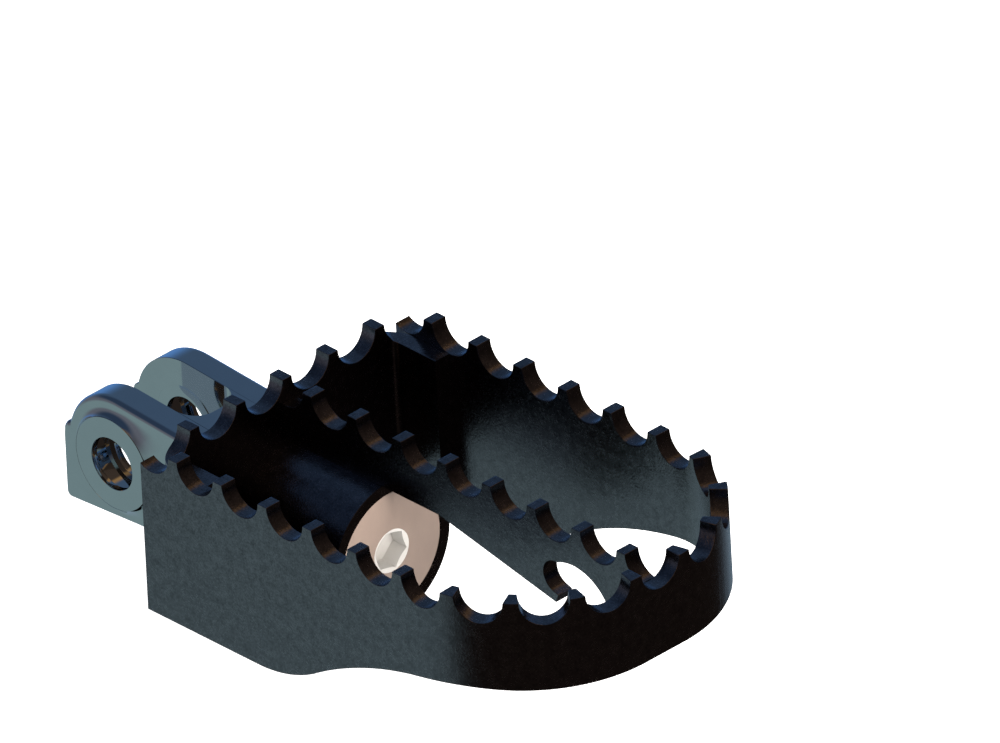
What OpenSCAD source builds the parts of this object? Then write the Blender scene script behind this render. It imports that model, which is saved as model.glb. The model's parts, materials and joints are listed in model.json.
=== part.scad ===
// Wide off-road foot peg: a toothed, welded platform that swivels a little
// on the round stem of a forged clevis hanger.
// Millimetres. The origin is the middle of the hanger's pivot bore, +X points
// outward along the peg, +Y lies along the pivot bore and +Z is up.

/* [Platform] */
// Outside width of the hoop, front to rear
platform_w = 58.2; // [50:0.1:70]
// Length of the hoop from its open end to its tip
platform_l = 86.3; // [80:0.1:100]
// Thickness of the plates that the platform is bent and cut from
plate_t = 3; // [2.5:0.1:3.4]
// Height of the tooth tops above the stem axis
tooth_top_z = 22.6; // [21:0.1:24]
// Full height of the hoop's sides next to the hanger
side_h = 30; // [28:0.1:31]
// Height of the hoop at its tip
tip_h = 15.9; // [14:0.1:17]
// Outside radius of the hoop's two corners
corner_r = 25; // [22:0.1:26]
// Distance from the pivot bore's axis to the hoop's open end
platform_x = 26.2; // [26:0.1:30]

/* [Teeth] */
// Distance from one tooth to the next
tooth_pitch = 10; // [9:0.1:11]
// Radius of the round cuts between the teeth
scallop_r = 4; // [3:0.1:4.4]

/* [Cross channel] */
// Length of the channel's flanges, from the hoop's open end
flange_l = 11.9; // [9:0.1:14]
// Inside radius of the channel's bends
channel_bend_r = 1; // [0.8:0.1:2]
// Step from the hoop's lower edge up to the channel's, which seats a weld
channel_step = 1.4; // [1.2:0.1:2]

/* [Bearing tube] */
// Outside radius of the tube
tube_r = 12.5; // [12.3:0.1:13]
// Length of the tube
tube_l = 24.9; // [24.6:0.1:26]
// Radius of the tube's bore, which holds the bushes
tube_bore_r = 9; // [9:0.1:9.2]
// Radius of the counterbore that the bolt's head sits in
tube_mouth_r = 10.5; // [10.4:0.05:10.8]

/* [Hanger] */
// Width of the hanger over its flat ear faces
ear_w = 20; // [18:0.1:21]
// Width over the round faces of the two ear bushes
bush_face_w = 22.2; // [22:0.1:23]
// Radius of the ears about the pivot bore
ear_r = 11.1; // [11:0.1:12]
// Width of the slot between the ears
slot_w = 10.2; // [9.6:0.1:11]
// Distance from the pivot axis to the bottom of the slot
slot_depth = 13; // [12.5:0.1:14]
// Radius of the pivot bore
pivot_r = 4.5; // [4:0.1:5]
// Radius of the stem that the platform swivels on
stem_r = 7; // [6.8:0.1:7]

/* [Swivel] */
// How far the platform tilts each way about the stem
tilt_deg = 10; // [5:1:12]
// Radius of the return spring's wire
spring_wire_r = 0.7; // [0.5:0.05:0.75]
// Number of turns in the return spring
spring_turns = 3.5; // [2.5:1:3.5]

/* [Retaining bolt] */
// Radius of the bolt's wide flat head
bolt_head_r = 10.4; // [10:0.05:10.4]
// Distance across the flats of the hexagon socket
hex_af = 6; // [5:1:8]

/* [Hidden] */
$fn = 64;
eps = 0.5;                 // how far a cutter runs past the face it cuts
half_w = platform_w / 2;
tip_x = platform_x + platform_l;
inner_face_y = half_w - plate_t;
side_z = tooth_top_z - side_h;
tip_z = tooth_top_z - tip_h;
scallop_z = tooth_top_z - scallop_r;
corner_x = tip_x - corner_r;
corner_y = half_w - corner_r;
mid_r = corner_r - plate_t / 2;
mid_y = half_w - plate_t / 2;
tip_mid_x = tip_x - plate_t / 2;
corner_arc = mid_r * PI / 2;
side_mid_l = corner_x - platform_x;
half_band_l = corner_y + corner_arc + side_mid_l;
scallops_each_way = floor((half_band_l + scallop_r) / tooth_pitch);

// the hoop's lower edge: a bulge, then a long hollow up to the tip
bulge_x = platform_x + 24.5;
bulge_r = 25.2;
hollow_x = platform_x + 74.6;
hollow_r = 71;
bulge_z = side_z + bulge_r;
hollow_z = tip_z - hollow_r;
blend_x = bulge_x + (hollow_x - bulge_x) * bulge_r / (bulge_r + hollow_r);

// the cross channel
web_x = platform_x + plate_t;
flange_x = platform_x + flange_l;
channel_z = side_z + channel_step;
weld_groove = 1.2;

// the centre rib
rib_end_x = tip_x - plate_t;
rib_first_scallop_x = platform_x + 3.9;
rib_bend_x = platform_x + 37.7;
beak_x = platform_x + 63.5;
beak_z = tooth_top_z - 15.4;
beak_end_x = platform_x + 64.2;
beak_slope_deg = 17;
hook_x = platform_x + 63.9;
hook_z = tooth_top_z - 10.75;
hook_r = 2.9;
// where the beak's sloping top leaves the hook's circle
beak_top_x = hook_x - hook_r * sin(beak_slope_deg);
beak_top_z = hook_z - hook_r * cos(beak_slope_deg);
arch_x = platform_x + 67.9;
arch_r = 8.4;

// the tube and what it holds, as distances from the pivot axis
tube_end_x = platform_x + tube_l;
mouth_x = tube_end_x - 5.7;
fit_gap = 0.05;            // radial clearance of the running fits
end_gap = 0.1;             // end clearance of the swivel
shoulder_x = platform_x - 1.2;
seal_x = platform_x + 1.1;
seal_r = 0.88;
inner_bush_x = platform_x + 2.2;
inner_bush_l = 3.6;
spring_x = 33.2;
spring_l = 5.6;
spring_r = (stem_r + tube_bore_r) / 2;
outer_bush_x = 40;
outer_bush_l = mouth_x - 0.2 - outer_bush_x;
stop_x = outer_bush_x + 1.75;
stop_pin_r = 1.5;
stop_pin_reach = stem_r + 1.6;
notch_l = 3.4;
notch_half_deg = tilt_deg + 0.2 + asin(stop_pin_r / (stem_r + fit_gap));
head_x = mouth_x + 0.9;
head_face_x = tube_end_x - 0.1;
washer_t = 0.7;
head_groove_x = (head_x + head_face_x) / 2 + 0.3;
head_groove_w = 1.5;
head_groove_r = bolt_head_r - 1.45;
bolt_r = 4;
bolt_end_x = 30;
bolt_hole_end_x = 28;
hex_depth = 3.3;
hex_chamfer = 0.38;
hex_mouth_r = hex_af / sqrt(3) + 0.24;

// the hanger's outline
foot_x = -11.8;
foot_top_z = 2.8;
foot_bottom_z = -10.9;
foot_corner_r = 1.4;
body_top_z = 9.5;
body_bottom_z = -8.6;
top_slope_x = 0.8;
slot_corner_r = 4;
boss_w = 22;
boss_r = 8.45;
boss_fillet_r = 0.95;
bush_r = 6.5;
bush_flange_r = 8;
bush_flange_t = 1.2;
bush_seat_gap = 0.15;
bush_relief_r = 5.6;
bush_lip = 1.2;

// solids of revolution about the peg's long axis
module along_x(x) translate([x, 0, 0]) rotate([0, 90, 0]) children();

module disc_x(r, x, l) along_x(x) cylinder(r = r, h = l);

module ring_x(r_out, r_in, x, l) {
    difference() {
        disc_x(r_out, x, l);
        disc_x(r_in, x - eps, l + 2 * eps);
    }
}

// a flat outline in X and Z, given thickness about the centre plane
module side_plate(t) rotate([90, 0, 0]) linear_extrude(t, center = true) children();

// a round cut across a plate, with its axis in the plane of the tooth tops
module scallop(x, y, turn) {
    translate([x, y, tooth_top_z]) rotate([0, 0, turn]) rotate([0, 90, 0])
        cylinder(r = scallop_r, h = 3 * plate_t, center = true);
}

// the plan of the hoop as a filled shape, drawn in by d on its three sides
module hoop_plan(d, start_x) {
    r = corner_r - d;
    translate([start_x, d - half_w]) square([corner_x - start_x, platform_w - 2 * d]);
    translate([start_x, -corner_y]) square([tip_x - d - start_x, 2 * corner_y]);
    for (side = [-1, 1]) translate([corner_x, side * corner_y]) circle(r = r, $fn = 128);
}

// what is cut away below the hoop's sides, in X and Z
module hoop_underside() {
    low = side_z - eps;
    difference() {
        translate([bulge_x, low]) square([blend_x - bulge_x, tip_z - low]);
        translate([bulge_x, bulge_z]) circle(r = bulge_r, $fn = 128);
    }
    intersection() {
        translate([blend_x, low]) square([hollow_x - blend_x, tip_z - low]);
        translate([hollow_x, hollow_z]) circle(r = hollow_r, $fn = 256);
    }
    translate([hollow_x, low]) square([tip_x + eps - hollow_x, tip_z - low]);
}

// one round cut at a distance s along the hoop's middle line from its tip
module hoop_scallop(s) {
    side = sign(s);
    d = abs(s);
    turn = (d - corner_y) / mid_r * 180 / PI;
    if (d <= corner_y)
        scallop(tip_mid_x, s, 0);
    else if (d <= corner_y + corner_arc)
        scallop(corner_x + mid_r * cos(turn), side * (corner_y + mid_r * sin(turn)), side * turn);
    else
        scallop(corner_x - (d - corner_y - corner_arc), side * mid_y, 90);
}

module hoop_band() color([0.13, 0.14, 0.15]) {
    difference() {
        translate([0, 0, side_z]) linear_extrude(side_h) difference() {
            hoop_plan(0, platform_x);
            hoop_plan(plate_t, platform_x - eps);
        }
        side_plate(platform_w + 2 * eps) hoop_underside();
        for (i = [-scallops_each_way:scallops_each_way]) hoop_scallop(i * tooth_pitch);
    }
}

// the plan of the bent channel: a web with a flange at each end
module channel_plan() {
    bend_out_r = channel_bend_r + plate_t;
    difference() {
        union() {
            translate([platform_x, bend_out_r - inner_face_y])
                square([flange_l, 2 * (inner_face_y - bend_out_r)]);
            translate([platform_x + bend_out_r, -inner_face_y])
                square([flange_l - bend_out_r, 2 * inner_face_y]);
            for (side = [-1, 1])
                translate([platform_x + bend_out_r, side * (inner_face_y - bend_out_r)])
                    circle(r = bend_out_r);
        }
        translate([web_x, bend_out_r - inner_face_y])
            square([flange_l, 2 * (inner_face_y - bend_out_r)]);
        translate([web_x + channel_bend_r, plate_t - inner_face_y])
            square([flange_l, 2 * (inner_face_y - plate_t)]);
        for (side = [-1, 1])
            translate([web_x + channel_bend_r, side * (inner_face_y - bend_out_r)])
                circle(r = channel_bend_r);
    }
}

module cross_channel() color([0.12, 0.13, 0.14]) {
    difference() {
        union() {
            translate([0, 0, channel_z]) linear_extrude(scallop_z - channel_z) channel_plan();
            translate([0, 0, scallop_z - eps]) linear_extrude(scallop_r + eps) intersection() {
                channel_plan();
                translate([platform_x, -half_w]) square([plate_t, platform_w]);
            }
        }
        for (i = [-2.5:2.5]) scallop(platform_x + plate_t / 2, i * tooth_pitch, 0);
        disc_x(tube_r, platform_x - eps, plate_t + 2 * eps);
        along_x(platform_x) cylinder(r1 = tube_r + weld_groove, r2 = tube_r, h = weld_groove);
    }
}

// the rib's side view: toothed above, with a beak and an arch below
module rib_outline() {
    difference() {
        polygon([[web_x, tube_r - eps], [tube_end_x, tube_r - eps], [tube_end_x, tube_r],
            [rib_bend_x, tube_r], [beak_x, beak_z], [beak_x, tip_z],
            [rib_end_x, tip_z], [rib_end_x, tooth_top_z], [web_x, tooth_top_z]]);
        for (x = [rib_first_scallop_x:tooth_pitch:tip_x])
            translate([x, tooth_top_z]) circle(r = scallop_r);
        translate([hook_x, hook_z]) circle(r = hook_r);
        intersection() {
            translate([arch_x, beak_z]) circle(r = arch_r);
            polygon([[beak_top_x, beak_top_z],
                [beak_end_x, beak_top_z - (beak_end_x - beak_top_x) * tan(beak_slope_deg)],
                [beak_x, beak_z], [beak_x, beak_z - arch_r], [arch_x + arch_r, beak_z - arch_r],
                [arch_x + arch_r, beak_z + arch_r], [beak_top_x, beak_z + arch_r]]);
        }
    }
}

module centre_rib() color([0.14, 0.15, 0.16]) difference() {
    side_plate(plate_t) rib_outline();
    disc_x(tube_r, platform_x, tube_l + eps);
}

module bearing_tube() color([0.11, 0.12, 0.13]) {
    difference() {
        disc_x(tube_r, platform_x, tube_l);
        disc_x(tube_bore_r, platform_x - eps, tube_l + 2 * eps);
        disc_x(tube_mouth_r, mouth_x, tube_l);
        // blind hole for the spring's outer leg
        spring_leg_hole(spring_end_deg, spring_x + spring_l, tube_bore_r - eps, tube_r - 0.6, 0.4);
    }
}

// the hanger seen from the side, in X and Z
module hanger_outline() {
    difference() {
        circle(r = ear_r, $fn = 96);
        // the forging's straight lower edge cuts the ear's circle short
        translate([-ear_r, -2 * ear_r]) square([2 * ear_r, 2 * ear_r + foot_bottom_z]);
        polygon([[foot_x + foot_corner_r, foot_bottom_z], [foot_x, -2 * ear_r],
            [shoulder_x, -2 * ear_r], [shoulder_x, body_bottom_z]]);
    }
    polygon([[top_slope_x, ear_r - 0.03], [shoulder_x, body_top_z], [shoulder_x, body_bottom_z],
        [foot_x + foot_corner_r, foot_bottom_z], [0, 0]]);
    translate([foot_x, foot_bottom_z + foot_corner_r])
        square([-foot_x, foot_top_z - foot_bottom_z - 2 * foot_corner_r]);
    translate([foot_x + foot_corner_r, foot_bottom_z]) square([-foot_x / 2, foot_corner_r]);
    translate([foot_x + foot_corner_r, foot_top_z - foot_corner_r])
        square([-foot_x - foot_corner_r, foot_corner_r]);
    for (z = [foot_bottom_z + foot_corner_r, foot_top_z - foot_corner_r])
        translate([foot_x + foot_corner_r, z]) circle(r = foot_corner_r);
}

// the slot between the ears, in X and Y, with two rounded inner corners
module slot_plan() {
    start = foot_x - eps;
    inner = slot_w / 2 - slot_corner_r;
    translate([start, -slot_w / 2]) square([slot_depth - slot_corner_r - start, slot_w]);
    translate([start, -inner]) square([slot_depth - start, 2 * inner]);
    for (side = [-1, 1])
        translate([slot_depth - slot_corner_r, side * inner]) circle(r = slot_corner_r);
}

// a raised round boss on one ear, flared out to the ear's face
module ear_boss() {
    h = (boss_w - ear_w) / 2;
    translate([0, 0, ear_w / 2 - eps]) rotate_extrude($fn = 96) difference() {
        square([boss_r + boss_fillet_r, h + eps]);
        translate([boss_r + boss_fillet_r, eps + boss_fillet_r]) circle(r = boss_fillet_r);
        translate([boss_r, eps + boss_fillet_r]) square([boss_fillet_r + eps, h]);
    }
}

// turns a shape built up along Z so that it stands out of one ear
module on_ear(side) rotate([side * -90, 0, 0]) children();

module spring_leg_hole(turn, x, r_from, r_to, gap) {
    translate([x, 0, 0]) rotate([turn, 0, 0]) translate([0, 0, r_from])
        cylinder(r = spring_wire_r + gap, h = r_to - r_from, $fn = 24);
}

module hanger() color([0.46, 0.51, 0.53]) {
    difference() {
        union() {
            side_plate(ear_w) hanger_outline();
            for (side = [-1, 1]) on_ear(side) ear_boss();
            disc_x(stem_r, shoulder_x - eps, head_x - shoulder_x + eps);
        }
        translate([0, 0, -2 * ear_r]) linear_extrude(4 * ear_r) slot_plan();
        for (side = [-1, 1]) on_ear(side) {
            cylinder(r = bush_r, h = boss_w);
            translate([0, 0, bush_face_w / 2 - bush_flange_t])
                cylinder(r = bush_flange_r + bush_seat_gap, h = boss_w);
        }
        disc_x(bolt_r, bolt_hole_end_x, head_x);
        translate([stop_x, 0, 0]) cylinder(r = stop_pin_r, h = 4 * stem_r, center = true, $fn = 32);
        spring_leg_hole(0, spring_x, bolt_r + 0.8, stem_r + eps, 0.12);
    }
}

// a flanged sleeve that lines one ear, relieved inside between two lips
module ear_bush(side) {
    inner = slot_w / 2;
    outer = bush_face_w / 2;
    on_ear(side) rotate_extrude($fn = 96) difference() {
        union() {
            translate([pivot_r, inner]) square([bush_r - pivot_r, outer - inner]);
            translate([pivot_r, outer - bush_flange_t])
                square([bush_flange_r - pivot_r, bush_flange_t]);
        }
        translate([0, inner + bush_lip])
            square([bush_relief_r, outer - inner - 2 * bush_lip]);
    }
}

module front_ear_bush() color([0.44, 0.50, 0.52]) ear_bush(-1);

module rear_ear_bush() color([0.44, 0.50, 0.52]) ear_bush(1);

module inner_thrust_washer() color([0.72, 0.55, 0.30])
    ring_x(tube_r - 0.7, stem_r + fit_gap, shoulder_x, platform_x - end_gap - shoulder_x);

module outer_thrust_washer() color([0.72, 0.55, 0.30])
    ring_x(bolt_head_r, stem_r + fit_gap, mouth_x + end_gap, washer_t);

module o_ring(x, r_mid, r_cord) along_x(x) rotate_extrude()
    translate([r_mid, 0]) circle(r = r_cord, $fn = 24);

module inner_seal() color([0.06, 0.06, 0.06]) o_ring(seal_x, spring_r, seal_r);

module head_seal() color([0.06, 0.06, 0.06])
    o_ring(head_groove_x, bolt_head_r - seal_r * 0.8, seal_r * 0.8);

module stop_pins() color([0.70, 0.71, 0.73]) translate([stop_x, 0, 0])
    difference() {
        cylinder(r = stop_pin_r, h = 2 * stop_pin_reach, center = true, $fn = 32);
        disc_x(bolt_r, -bolt_r, 2 * bolt_r);
    }

module retaining_bolt() color([0.68, 0.59, 0.53]) {
    hex_r = hex_af / sqrt(3);
    difference() {
        union() {
            disc_x(bolt_head_r, head_x, head_face_x - head_x);
            disc_x(bolt_r, bolt_end_x, head_x + eps - bolt_end_x);
        }
        ring_x(bolt_head_r + eps, head_groove_r, head_groove_x - head_groove_w / 2, head_groove_w);
        along_x(head_face_x - hex_depth) rotate([0, 0, 15]) cylinder(r = hex_r, h = hex_depth + eps, $fn = 6);
        along_x(head_face_x - hex_chamfer) rotate_extrude()
            polygon([[0, 0], [hex_af / 2 - 0.05, 0], [hex_mouth_r, hex_chamfer],
                [hex_mouth_r, hex_chamfer + eps], [0, hex_chamfer + eps]]);
    }
}

module inner_bush() color([0.72, 0.55, 0.30])
    ring_x(tube_bore_r, stem_r + fit_gap, inner_bush_x, inner_bush_l);

// two opposite notches in the bush let the stop pin swing to its limits
module outer_bush() color([0.72, 0.55, 0.30]) {
    reach = 2 * tube_bore_r;
    spread = reach * tan(notch_half_deg);
    difference() {
        ring_x(tube_bore_r, stem_r + fit_gap, outer_bush_x, outer_bush_l);
        along_x(outer_bush_x - eps) linear_extrude(notch_l + eps)
            for (side = [-1, 1])
                polygon([[0, 0], [side * reach, -spread], [side * reach, spread]]);
    }
}

// path of the spring's wire: a leg into the stem, the turns, a leg into the tube
spring_steps = 20;
bend_deg = 12;
spring_end_deg = 360 * spring_turns;
leg_in_r = bolt_r + 1.2;
leg_out_r = tube_r - 0.9;

function spring_point(turn, r) =
    [spring_x + spring_l * min(1, max(0, turn / spring_end_deg)), -r * sin(turn), r * cos(turn)];

spring_path = concat(
    [spring_point(0, leg_in_r), spring_point(0, spring_r - 2 * spring_wire_r),
        spring_point(bend_deg / 3, spring_r - spring_wire_r / 2)],
    [for (turn = [bend_deg:360 / spring_steps:spring_end_deg - bend_deg]) spring_point(turn, spring_r)],
    [spring_point(spring_end_deg - bend_deg, spring_r),
        spring_point(spring_end_deg - bend_deg / 3, spring_r + spring_wire_r / 2),
        spring_point(spring_end_deg, spring_r + 2 * spring_wire_r),
        spring_point(spring_end_deg, leg_out_r)]);

// a closed tube of a few flats carried along a path that bends about X
module wire(path, r, sides) {
    last = len(path) - 1;
    function unit(v) = v / norm(v);
    function heading(i) = unit(path[min(last, i + 1)] - path[max(0, i - 1)]);
    function ring(i) = let (t = heading(i), a = unit(cross(t, [1, 0, 0])), b = cross(t, a))
        [for (k = [0:sides - 1]) path[i] + r * (cos(360 * k / sides) * a + sin(360 * k / sides) * b)];
    points = [for (i = [0:last]) each ring(i)];
    walls = [for (i = [0:last - 1], k = [0:sides - 1]) let (n = (k + 1) % sides)
        [i * sides + k, (i + 1) * sides + k, (i + 1) * sides + n, i * sides + n]];
    start_cap = [[for (k = [0:sides - 1]) k]];
    end_cap = [[for (k = [0:sides - 1]) last * sides + sides - 1 - k]];
    polyhedron(points, concat(start_cap, walls, end_cap));
}

module return_spring() color([0.35, 0.36, 0.38]) wire(spring_path, spring_wire_r, 8);

// a concave fillet of weld metal, in a corner open towards +X and +Y
weld_leg = 1.3;

module weld_section() difference() {
    square(weld_leg);
    translate([weld_leg, weld_leg]) circle(r = weld_leg * 0.8, $fn = 32);
}

// weld metal that fills a groove around the tube in the web's rear face
module tube_weld() color([0.12, 0.13, 0.14]) difference() {
    along_x(platform_x) cylinder(r1 = tube_r + weld_groove, r2 = tube_r, h = weld_groove);
    disc_x(tube_r, platform_x - eps, weld_groove + 2 * eps);
    translate([platform_x - eps, -2 * tube_r, channel_z - 2 * tube_r])
        cube([plate_t, 4 * tube_r, 2 * tube_r]);
}

// seams under the flanges, in the corner left by the channel's step
module flange_welds() color([0.12, 0.13, 0.14]) {
    run = flange_l - 5;
    for (side = [0, 1]) mirror([0, side, 0])
        translate([flange_x, inner_face_y, channel_z]) rotate([0, -90, 0])
            linear_extrude(run) rotate(180) weld_section();
}

// short seams where the rib's end meets the hoop, low on both sides
module rib_welds() color([0.12, 0.13, 0.14]) {
    for (side = [0, 1]) mirror([0, side, 0])
        translate([rib_end_x, plate_t / 2, tip_z + 0.6]) linear_extrude(7)
            mirror([1, 0, 0]) weld_section();
}

hanger();
front_ear_bush();
rear_ear_bush();
inner_thrust_washer();
inner_seal();
stop_pins();
return_spring();
outer_thrust_washer();
retaining_bolt();
head_seal();
hoop_band();
cross_channel();
centre_rib();
bearing_tube();
inner_bush();
outer_bush();
tube_weld();
flange_welds();
rib_welds();
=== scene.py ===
# %% [markdown]
# # A swivelling foot peg, one piece at a time
# A wide off-road foot peg is a toothed platform, bent and welded from 3 mm
# plate, that turns a little on the round stem of a forged clevis. The solid
# model comes first and fixes every size. This lesson then makes the surfaces
# that are seen, and their finishes, in the same place and in metres.

# %% Load the solid model
import json
import bmesh
import bpy
import numpy as np
from mathutils import Matrix, Vector

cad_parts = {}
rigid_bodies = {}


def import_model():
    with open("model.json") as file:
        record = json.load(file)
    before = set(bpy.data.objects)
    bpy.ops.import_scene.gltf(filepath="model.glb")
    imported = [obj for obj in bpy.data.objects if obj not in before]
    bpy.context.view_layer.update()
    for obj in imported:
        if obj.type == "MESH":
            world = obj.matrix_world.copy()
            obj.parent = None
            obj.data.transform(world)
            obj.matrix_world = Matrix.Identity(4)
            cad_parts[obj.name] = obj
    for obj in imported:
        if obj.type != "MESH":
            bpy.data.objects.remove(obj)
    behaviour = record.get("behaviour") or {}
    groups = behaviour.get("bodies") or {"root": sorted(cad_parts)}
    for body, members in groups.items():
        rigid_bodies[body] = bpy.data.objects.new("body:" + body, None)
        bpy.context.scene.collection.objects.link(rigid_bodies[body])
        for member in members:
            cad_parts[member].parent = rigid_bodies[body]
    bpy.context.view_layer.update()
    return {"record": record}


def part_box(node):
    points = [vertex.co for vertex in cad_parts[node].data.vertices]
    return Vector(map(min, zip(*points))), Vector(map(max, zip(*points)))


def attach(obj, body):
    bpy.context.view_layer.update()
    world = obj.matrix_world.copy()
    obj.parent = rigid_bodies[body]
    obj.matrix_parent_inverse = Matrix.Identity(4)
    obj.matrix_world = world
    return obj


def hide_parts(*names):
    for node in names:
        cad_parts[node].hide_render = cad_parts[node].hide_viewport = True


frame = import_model()

# %% [markdown]
# ## Sizes
# Working in millimetres keeps the numbers readable. They are the ones that the
# solid model uses, and each piece is scaled to metres as it is made. The
# origin is the middle of the pivot bore, and x runs outward along the peg.

# %% The peg's own sizes
MM = 0.001
MERGE_DISTANCE = 2e-7
platform_x, tip_x, half_w, plate = 26.2, 112.5, 29.1, 3.0
tooth_z, side_z, tip_z = 22.6, -7.4, 6.7
corner_r, pitch, scallop_r = 25.0, 10.0, 4.0
edge_r = 0.14
tube_r, tube_bore_r, tube_mouth_r = 12.5, 9.0, 10.5
tube_end = platform_x + 24.9
corner_x, corner_y = tip_x - corner_r, half_w - corner_r
mid_r = corner_r - plate / 2
low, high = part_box("hoop_band")
print("hoop length here and in the solid:", tip_x - platform_x, round((high.x - low.x) / MM, 2))

# %% [markdown]
# ## From arrays to a mesh
# Every shape below is a grid of points: one index runs along a path and the
# other round a profile. Joining neighbours gives four-sided faces, which is
# all that a smooth surface needs. Ends are closed with one flat face, so each
# piece is a watertight solid, and its faces are turned outwards at the end.

# %% Helpers that turn grids of points into pieces
def grid_faces(rows, columns, wrap_rows=False, wrap_columns=False):
    """Four corners for each cell of a grid whose points are numbered row by row."""
    r = np.arange(rows if wrap_rows else rows - 1)
    c = np.arange(columns if wrap_columns else columns - 1)
    r, c = np.meshgrid(r, c, indexing="ij")
    r2, c2 = (r + 1) % rows, (c + 1) % columns
    cells = np.stack([r * columns + c, r2 * columns + c, r2 * columns + c2, r * columns + c2], -1)
    return cells.reshape(-1, 4).tolist()


def strip_parts(points):
    """A closed strip from its grid of points, with one flat face at each end."""
    rows, columns = points.shape[:2]
    ends = [list(range(columns)), [(rows - 1) * columns + i for i in range(columns)]]
    return points, grid_faces(rows, columns, wrap_columns=True) + ends


def solid_mesh(name, points, faces):
    """A mesh in metres from points in millimetres. Points that meet become one,
    and the faces are turned outwards."""
    mesh = bpy.data.meshes.new(name)
    mesh.from_pydata((points * MM).tolist(), [], faces)
    work = bmesh.new()
    work.from_mesh(mesh)
    bmesh.ops.remove_doubles(work, verts=work.verts, dist=MERGE_DISTANCE)
    bmesh.ops.recalc_face_normals(work, faces=work.faces)
    work.to_mesh(mesh)
    work.free()
    return mesh


def make_piece(name, parts, body, node, sharp=32):
    """One object from several (points, faces) parts, given in millimetres."""
    points, faces, start = [], [], 0
    for part_points, part_faces in parts:
        points.append(np.asarray(part_points, float).reshape(-1, 3))
        faces += [[i + start for i in face] for face in part_faces]
        start += len(points[-1])
    mesh = solid_mesh(name, np.concatenate(points), faces)
    mesh.shade_smooth()
    mesh.set_sharp_from_angle(angle=np.radians(sharp))
    piece = bpy.data.objects.new(name, mesh)
    bpy.context.scene.collection.objects.link(piece)
    weighted = piece.modifiers.new("flat faces stay flat", "WEIGHTED_NORMAL")
    weighted.keep_sharp = True
    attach(piece, body)
    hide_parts(node)
    print(f"{name}: {len(mesh.vertices)} points, {len(mesh.polygons)} faces")
    return piece


def arc(centre, radius, start, end, count):
    """Points of an arc in a plane, from one angle in degrees to another."""
    t = np.radians(np.linspace(start, end, count))
    return np.array(centre) + radius * np.stack([np.cos(t), np.sin(t)], -1)


def line(a, b, count):
    """Evenly spaced points from a to b, without b."""
    t = np.linspace(0, 1, count, endpoint=False)[:, None]
    return np.array(a, float) * (1 - t) + np.array(b, float) * t


def mitred_normals(outline):
    """For each point of a closed outline that runs anticlockwise: the outward
    direction whose unit step moves both of its edges by one unit."""
    ahead = np.roll(outline, -1, 0) - outline
    ahead /= np.linalg.norm(ahead, axis=1)[:, None]
    normal = np.stack([ahead[:, 1], -ahead[:, 0]], -1)
    before = np.roll(normal, 1, 0)
    return (normal + before) / (1 + (normal * before).sum(1))[:, None]


# %% [markdown]
# ## The teeth
# The teeth are what is left between round cuts, each a cylinder whose axis
# lies in the plane of the tooth tops. So a cut's walls stand upright where
# they meet a tooth's flat top. A tiny arc breaks that corner, as a coat of
# powder does. One cut's profile is worked out once and repeated.

# %% Profile of one round cut
def cut_profile(count=30):
    """Distance along the plate, height and outward normal of one cut.
    The cut is a half circle of the scallop radius. At each end a small circle
    touches both it and the flat top, with its centre just under the top."""
    reach = np.sqrt((scallop_r + edge_r) ** 2 - edge_r ** 2)
    tilt = np.degrees(np.arctan2(edge_r, reach))
    turn = np.radians(np.linspace(-90 + tilt, 90 - tilt, count))
    valley = np.stack([scallop_r * np.sin(turn), -scallop_r * np.cos(turn)], -1)
    valley_n = np.stack([-np.sin(turn), np.cos(turn)], -1)
    bend = np.radians(np.linspace(90, tilt, 5)[:-1])
    left_n = np.stack([np.cos(bend), np.sin(bend)], -1)
    left = np.array([-reach, -edge_r]) + edge_r * left_n
    # a few more points on the flat top, so that no face there is much wider
    top_x = np.linspace(0.49 * pitch, reach, 4)[:-1]
    left = np.concatenate([np.column_stack([-top_x, 0 * top_x]), left])
    left_n = np.concatenate([np.tile([0.0, 1.0], (len(top_x), 1)), left_n])
    flip = np.array([-1.0, 1.0])
    profile = np.concatenate([left, valley, (left * flip)[::-1]])
    normals = np.concatenate([left_n, valley_n, (left_n * flip)[::-1]])
    return profile, normals


cut, cut_n = cut_profile()
cut_reach = scallop_r + 2 * edge_r
print("cut profile:", len(cut), "points, tooth tops", pitch - 2 * scallop_r, "mm wide")

# %% [markdown]
# ## The hoop
# The hoop is one strip of plate bent into a U. Its cross-section is a tall
# thin rectangle with softened edges, carried along the strip's middle line.
# The top follows the teeth, and the bottom follows two arcs that meet without
# a kink. Each cut goes square through the plate, so its walls stay parallel
# even where the plate bends. Sampling the strip cut by cut gives that.

# %% Hoop surface
def lower_edge(x):
    """Height of the hoop's lower edge: flat, a bulging arc, a hollow arc, flat."""
    bulge_x, bulge_r, hollow_x, hollow_r = platform_x + 24.5, 25.2, platform_x + 74.6, 71.0
    blend_x = bulge_x + (hollow_x - bulge_x) * bulge_r / (bulge_r + hollow_r)
    bulge = side_z + bulge_r - np.sqrt(np.clip(bulge_r ** 2 - (x - bulge_x) ** 2, 0, None))
    hollow = tip_z - hollow_r + np.sqrt(np.clip(hollow_r ** 2 - (x - hollow_x) ** 2, 0, None))
    z = np.where(x < blend_x, bulge, hollow)
    return np.where(x < bulge_x, side_z, np.where(x > hollow_x, tip_z, z))


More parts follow.
